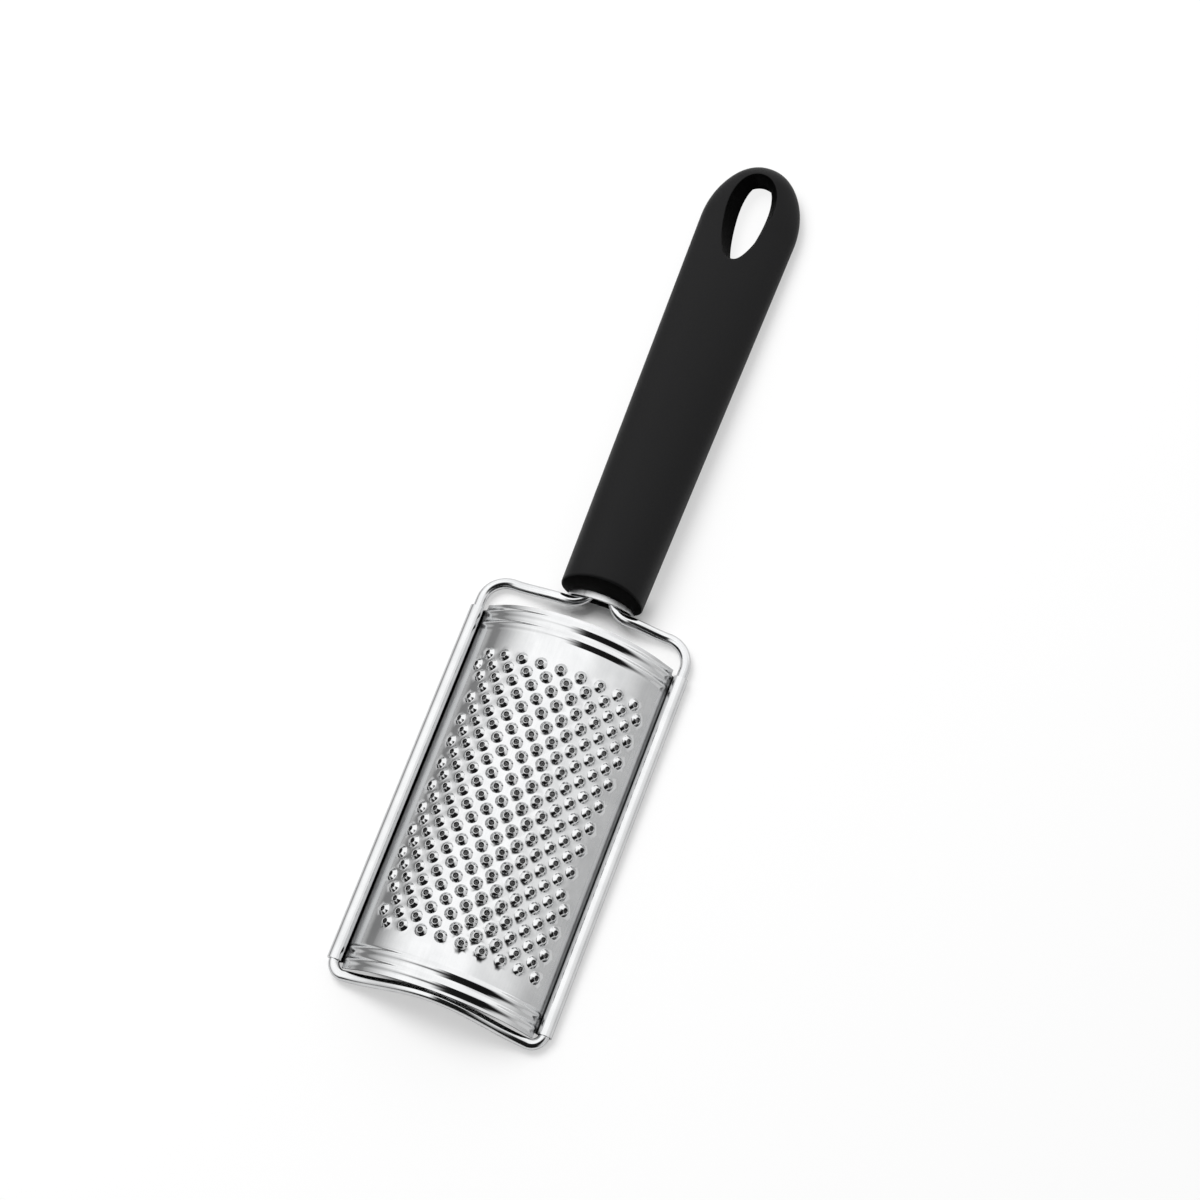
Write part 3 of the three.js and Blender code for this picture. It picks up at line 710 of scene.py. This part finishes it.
def handle_size(y):
    """Half width, half height and middle height of the handle's oval at y."""
    part = min(1, max(0, (y - front_y) / (end_start - front_y)))
    top = FRONT_HEIGHT + (REAR_HEIGHT - FRONT_HEIGHT) * part
    plan = math.sqrt(max(0, 1 - (max(0, y - end_start) / END_ROUND) ** 2))
    thin = (top + UNDERCUT) / 2
    tuck = max(0, y - end_y + thin) / thin
    wide = (FRONT_WIDTH + (REAR_WIDTH - FRONT_WIDTH) * part) / 2 * plan
    return wide, thin * math.sqrt(max(0, 1 - tuck ** 2)), top - thin


def oval_ring(y, inset=0):
    wide, tall, middle = handle_size(y)
    ring = []
    for i in range(HANDLE_SIDES):
        t = -2 * math.pi * i / HANDLE_SIDES
        px = math.copysign(abs(math.cos(t)) ** (2 / OVAL_POWER), math.cos(t))
        pz = math.copysign(abs(math.sin(t)) ** (2 / OVAL_POWER), math.sin(t))
        ring.append((HANDLE_ASIDE + (wide - inset) * px, y, middle + (tall - inset) * pz))
    return ring


def handle_top(x, y):
    """Height of the handle's top at x from its middle."""
    wide, tall, middle = handle_size(y)
    return middle + tall * max(0, 1 - abs(x / wide) ** OVAL_POWER) ** (1 / OVAL_POWER)


def loft(name, rings):
    """Closed skin over rings of one count, with a flat face on each end."""
    count = len(rings[0])
    verts = [p for ring in rings for p in ring]
    faces = [tuple(range(count))[::-1], tuple(range(len(verts) - count, len(verts)))]
    for r in range(len(rings) - 1):
        for i in range(count):
            a = r * count + i
            b = r * count + (i + 1) % count
            faces.append((a, b, b + count, a + count))
    piece = new_piece(name, verts, faces)
    body = bmesh.new()
    body.from_mesh(piece.data)
    bmesh.ops.recalc_face_normals(body, faces=body.faces)
    body.to_mesh(piece.data)
    body.free()
    return piece


def handle_body():
    """The solid moulding: a front face that leans back towards its top, then ovals to the end."""
    middle = handle_size(front_y)[2]
    face = oval_ring(front_y, FRONT_ROUND)
    front = []
    for part in FACE_RINGS:
        front.append([(HANDLE_ASIDE + (x - HANDLE_ASIDE) * part, y, middle + (z - middle) * part)
                      for x, y, z in face])
    for i in range(EDGE_STEPS + 1):
        t = math.pi / 2 * i / EDGE_STEPS
        y = front_y + FRONT_ROUND * (1 - math.cos(t))
        front.append(oval_ring(y, FRONT_ROUND * (1 - math.sin(t))))
    rings = []
    for ring in front:
        rings.append([(x, y + FRONT_LEAN * max(0, z / FRONT_HEIGHT) ** FRONT_BULGE, z) for x, y, z in ring])
    for y in steps_between(front_y + FRONT_LEAN + SIDE_START, end_start, HANDLE_STEP):
        rings.append(oval_ring(y))
    for i in range(1, END_STEPS + 1):
        t = math.pi / 2 * END_SHARE * i / END_STEPS
        rings.append(oval_ring(end_start + END_ROUND * math.sin(t)))
    return loft("handle_body", rings)


def hang_hole():
    """Egg-shaped hole with rounded edges, drafted from both faces to half its depth."""

    def ring(more, height, lean=0):
        points = []
        for i in range(HOLE_SIDES):
            t = 2 * math.pi * i / HOLE_SIDES
            blunt = HOLE_BLUNT if i > HOLE_SIDES / 2 else 1
            side = math.copysign(abs(math.cos(t)) ** blunt, math.cos(t))
            x = (HOLE_WIDTH / 2 + more) * side * (1 + HOLE_EGG * math.sin(t)) - lean
            y = hole_y + (HOLE_LENGTH / 2 + more * HOLE_STRETCH) * math.sin(t)
            points.append((HANDLE_ASIDE + x, y, height(x, y)))
        return points

    mouth = HOLE_RIM + HOLE_EDGE
    rings = [ring(mouth, lambda x, y: -2 * CUT_ROOM)]
    turns = [math.pi / 2 * i / HOLE_STEPS for i in range(HOLE_STEPS + 1)]
    for t in turns:
        rings.append(ring(mouth - HOLE_EDGE * math.sin(t), lambda x, y: HOLE_EDGE * (1 - math.cos(t))))
    rings.append(ring(0, lambda x, y: handle_top(x, y) / 2))
    for t in turns[::-1]:
        more = mouth - HOLE_EDGE * math.sin(t)
        rings.append(ring(more, lambda x, y: handle_top(x, y) - HOLE_EDGE * (1 - math.cos(t)), HOLE_LEAN))
    rings.append(ring(mouth, lambda x, y: REAR_HEIGHT + 4 * CUT_ROOM, HOLE_LEAN))
    return loft("hang_hole", rings)


def bar(name, outline, low, high):
    """A straight bar along Y with the given outline in X and Z."""
    return loft(name, [[(x, y, z) for x, z in outline] for y in (low, high)])


def mouth_hollow():
    half = half_oval(-FIT)
    outline = [(half[0][0], MOUTH_LIP), *half, (half[-1][0], MOUTH_LIP)]
    return bar("mouth_hollow", outline, front_y - CUT_ROOM, front_y + MOUTH_RECESS)


def strip_slot():
    half = [*half_oval(-SLOT_FIT), *half_oval(MOUTH_SHEET + FIT)[::-1]]
    middle = len(half) // 2
    foot = MOUTH_FOOT - FIT
    outline = [(half[0][0], foot), *half[:middle], (half[middle - 1][0], foot)]
    outline += [(half[middle][0], foot), *half[middle:], (half[-1][0], foot)]
    start = front_y + MOUTH_RECESS - SLOT_OVERLAP
    return bar("strip_slot", outline, start, front_y + MOUTH_DEPTH + FIT)


def leg_bore(sign):
    outline = []
    for i in range(WIRE_SIDES):
        t = 2 * math.pi * i / WIRE_SIDES
        x = HANDLE_ASIDE + sign * LEG_SPREAD / 2 + (WIRE / 2 + FIT) * math.cos(t)
        outline.append((x, hem_z + LEG_RISE + (WIRE / 2 + FIT) * math.sin(t)))
    return bar("leg_bore", outline, front_y - CUT_ROOM, front_y + LEG_DEPTH + FIT)


def worktop_cut():
    half, deep = 40, 10
    outline = [(-half, -deep), (half, -deep), (half, 0), (-half, 0)]
    return bar("worktop_cut", outline, front_y - 5 * CUT_ROOM, end_y + 5 * CUT_ROOM)


# Spark-eroded mould skin: a fine even pebble, a little paler where hands have rubbed it. The
# mouth's face and the hang hole's wall get a darker, less shiny copy of this skin: painted shade.
grip_finish, net, shader = new_finish("matt_grip")
spot = net.node("ShaderNodeTexCoord", out=3)
pebble = net.node("ShaderNodeTexNoise", None, {"Vector": spot, "Scale": GRIP_PEBBLE, "Detail": 2.0})
cloud = net.node("ShaderNodeTexNoise", None, {"Vector": spot, "Scale": GRIP_CLOUD, "Detail": 4.0})
tint = net.node("ShaderNodeValToRGB", {"stops": [(0.3, GRIP_COLOUR), (0.7, GRIP_PALE)]}, {
    0: pebble * 0.5 + cloud * 0.5})
dent = net.node("ShaderNodeBump", None, {"Strength": 0.35, "Distance": 0.00012, "Height": pebble})
shader.inputs["Specular IOR Level"].default_value = GRIP_SHINE
feed(shader, tint, cloud * 0.14 + pebble * 0.08 + 0.36, dent)
shaded_skin = net.node("ShaderNodeBsdfPrincipled", None, {
    "Base Color": SHADED_FACE_COLOUR, "Roughness": DULL_ROUGH, "Specular IOR Level": SHADED_FACE_SHINE, "Normal": dent})
end_face = net.node("ShaderNodeAttribute", {"attribute_name": "end_face"}, out=2)
skin = net.node("ShaderNodeMixShader", None, {0: end_face, 1: Link(net.tree, shader.outputs[0]), 2: shaded_skin})
net.tree.links.new(skin.socket, net.tree.nodes["Material Output"].inputs["Surface"])

body = handle_body()
cuts = [worktop_cut(), hang_hole(), mouth_hollow(), strip_slot(), leg_bore(-1), leg_bore(1)]
for cut in cuts:
    carve = body.modifiers.new(cut.name, "BOOLEAN")
    carve.operation = "DIFFERENCE"
    carve.solver = "EXACT"
    carve.object = cut
view = bpy.context.evaluated_depsgraph_get()
mesh = bpy.data.meshes.new_from_object(body.evaluated_get(view))
handle = bpy.data.objects.new("moulded_handle", mesh)
scene.collection.objects.link(handle)
for tool in [body, *cuts]:
    bpy.data.objects.remove(tool)
mesh.materials.clear()
mesh.materials.append(grip_finish)
mesh.shade_smooth()
mesh.set_sharp_from_angle(angle=math.radians(HANDLE_CREASE))
# Faces on the mouth's front and the hang hole's wall take the darker skin: painted shade.
end_face = mesh.attributes.new("end_face", "FLOAT", "FACE")
for face in mesh.polygons:
    in_mouth = face.normal.y < -FACE_FRONT and face.center.y < (front_y + FRONT_LEAN) * MM
    from_hole = face.center - Vector((HANDLE_ASIDE * MM, hole_y * MM, face.center.z))
    in_hole = abs(from_hole.y) < HOLE_LENGTH * MM and from_hole.dot(face.normal) < 0
    if in_mouth or in_hole and abs(face.normal.z) < WALL_LEAN:
        end_face.data[face.index].value = 1
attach(handle, "root")
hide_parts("handle")

# Studio
# A wide white sweep under soft light from behind on the left, in a tent that is open and dark
# in front on the right, which gives the steel its black edges. The camera is the photograph's.
FLOOR_COLOUR = (0.93, 0.93, 0.93, 1)
SHADY_FLOOR = (0.3, 0.3, 0.3, 1)
# Painted shade: near-black floor under the plate's tip end.
UNDER_SHADE_COLOUR = (0.04, 0.04, 0.04, 1)
FLOOR_HALF = 2500
FLOOR_DROP = 0.02
FLOOR_GLOW = 0.5
# Painted light: extra glow on the floor seen through the hang hole.
HOLE_GLOW = 0.35
SHADY_SIDE = (-38, -60)
UNDER_TIP = (1.5, 3.5)
UNDER_NECK = (0, -3)
UNDER_SIDE = (0, -3)
TIP_GLOOM = (16, 11)
NOOK_NECK = (-2, 2)
NOOK_FRONT = (8, 2)
NOOK_SIDE = (18, 5)
HOLE_BACK = (-40, -34)
HOLE_SIDE = (12, 7)
TENT_LIGHT = 1.7
AIR_LIGHT = 0.45
TENT_HEIGHTS = (0, 0.25, 0.5, 0.69, 1)
LEFT_GREYS = (0.2, 0.38, 0.62, 0.8, 1)
RIGHT_GREYS = (0.44, 0.48, 0.6, 0.7, 0.78)
BACK_GREY = 0.95
RIGHT_WALL = (0.15, 0.5)
BACK_WALL = (0.4, 0.75)
OPEN_LEFT = (-0.28, 0.05)
OPEN_RIGHT = (0.9, 0.65)
OPEN_BACK = (0.18, 0.03)
OPEN_FRONT = (-0.62, -0.82)
OPEN_FOOT = (0.0, 0.12)
OPEN_DARK = 0.99
KEY_PLACE = Vector((-0.7, 0.4, 1.38))
KEY_SIZE = 0.9
KEY_WATTS = 21
CAMERA_TURN = 20.39
CAMERA_RISE = 70.34
CAMERA_REACH = 0.85
CAMERA_LENS = 93.45
CAMERA_SENSOR = 36
AIM = Vector((0.00098, -0.0079, 0.0018))

corners = [(-1, -1), (1, -1), (1, 1), (-1, 1)]
floor = new_piece("floor", [(x * FLOOR_HALF, y * FLOOR_HALF, -FLOOR_DROP) for x, y in corners], [(0, 1, 2, 3)])
floor_finish = bpy.data.materials.new("white_sweep")
floor_finish.use_nodes = True
tree = floor_finish.node_tree
tree.nodes.clear()
net = Link(tree)
matt = net.node("ShaderNodeBsdfDiffuse", None, {"Color": FLOOR_COLOUR})
dim = net.node("ShaderNodeBsdfDiffuse", None, {"Color": SHADY_FLOOR})
gloom = net.node("ShaderNodeBsdfDiffuse", None, {"Color": UNDER_SHADE_COLOUR})
glow = net.node("ShaderNodeEmission", None, {"Color": (1, 1, 1, 1), "Strength": 1.0})
seen = net.node("ShaderNodeLightPath", out="Is Camera Ray")
mirrored = net.node("ShaderNodeLightPath", out="Is Glossy Ray")
spot = net.node("ShaderNodeTexCoord", out=3)
split = net.node("ShaderNodeSeparateXYZ", None, {0: spot}).socket.node
aside, back = (Link(tree, split.outputs[i]) / MM for i in (0, 1))
from_handle = net.math("ABSOLUTE", aside - HANDLE_ASIDE)
# Painted shade and light on the floor for camera rays: no glow under the plate or in the nook by the handle's
# mouth, so both read darker; extra glow through the hang hole; and the floor under the tip end painted
# near-black.
under = between(back - plate_tip, *UNDER_TIP) * between(back - plate_neck, *UNDER_NECK)
under = under * between(net.math("ABSOLUTE", aside) - hem_x, *UNDER_SIDE)
nook_shade = between(back - plate_neck, *NOOK_NECK) * between(back - front_y, *NOOK_FRONT)
nook_shade = nook_shade * between(from_handle, *NOOK_SIDE)
hole = between(back - end_y, *HOLE_BACK) * between(from_handle, *HOLE_SIDE)
lit = (1 - under) * (1 - nook_shade) * FLOOR_GLOW + hole * HOLE_GLOW
tip_gap_shade = under * between(back - plate_tip, *TIP_GLOOM)
sweep = net.node("ShaderNodeMixShader", None, {0: mirrored * between(aside, *SHADY_SIDE), 1: matt, 2: dim})
sweep = net.node("ShaderNodeMixShader", None, {0: seen * lit, 1: sweep, 2: glow})
sweep = net.node("ShaderNodeMixShader", None, {0: tip_gap_shade, 1: sweep, 2: gloom})
net.node("ShaderNodeOutputMaterial", None, {"Surface": sweep})
floor.data.materials.append(floor_finish)

world = bpy.data.worlds.new("light_tent")
world.use_nodes = True
scene.world = world
tree = world.node_tree
tree.nodes.clear()
net = Link(tree)
toward = net.node("ShaderNodeTexCoord", out=0)
split = net.node("ShaderNodeSeparateXYZ", None, {0: toward}).socket.node
to_right, to_back, to_top = (Link(tree, split.outputs[i]) for i in range(3))


def by_height(levels):
    """Brightness of the tent from just under the horizon to well up, as a ramp of greys."""
    stops = [(place, (grey, grey, grey, 1)) for place, grey in zip(TENT_HEIGHTS, levels)]
    return net.node("ShaderNodeValToRGB", {"stops": stops}, {0: (to_top + 0.1) * 1.25})


left_wall = by_height(LEFT_GREYS)
right_wall = by_height(RIGHT_GREYS)
walls = left_wall + between(to_right, *RIGHT_WALL) * (right_wall - left_wall)
walls = walls + between(to_back, *BACK_WALL) * (BACK_GREY - walls)
open_right = between(to_right, *OPEN_LEFT) * between(to_right, *OPEN_RIGHT) * between(to_back, *OPEN_BACK)
open_front = between(to_back, *OPEN_FRONT)
opening = (1 - (1 - open_right) * (1 - open_front)) * between(to_top, *OPEN_FOOT)
tent = walls * (1 - opening * OPEN_DARK) * TENT_LIGHT
seen = net.node("ShaderNodeLightPath", out="Is Camera Ray")
mirrored = net.node("ShaderNodeLightPath", out="Is Glossy Ray")
level = seen + (1 - seen) * tent * (mirrored + (1 - mirrored) * AIR_LIGHT)
air = net.node("ShaderNodeBackground", None, {"Color": (1, 1, 1, 1), "Strength": level})
net.node("ShaderNodeOutputWorld", None, {"Surface": air})

lamp = bpy.data.lights.new("key_softbox", "AREA")
lamp.shape = "RECTANGLE"
lamp.size = KEY_SIZE
lamp.size_y = KEY_SIZE
lamp.energy = KEY_WATTS
softbox = bpy.data.objects.new("key_softbox", lamp)
softbox.location = KEY_PLACE
softbox.rotation_euler = (-KEY_PLACE).to_track_quat("-Z", "Y").to_euler()
softbox.visible_camera = False
softbox.visible_glossy = False
scene.collection.objects.link(softbox)

turn, rise = math.radians(CAMERA_TURN), math.radians(CAMERA_RISE)
back = Vector((math.sin(turn) * math.cos(rise), -math.cos(turn) * math.cos(rise), math.sin(rise)))
lens = bpy.data.cameras.new("camera")
lens.lens = CAMERA_LENS
lens.sensor_width = CAMERA_SENSOR
camera = bpy.data.objects.new("camera", lens)
camera.location = AIM + back * CAMERA_REACH
camera.rotation_euler = (math.pi / 2 - rise, 0, turn)
scene.collection.objects.link(camera)
scene.camera = camera

scene.view_settings.view_transform = "Standard"
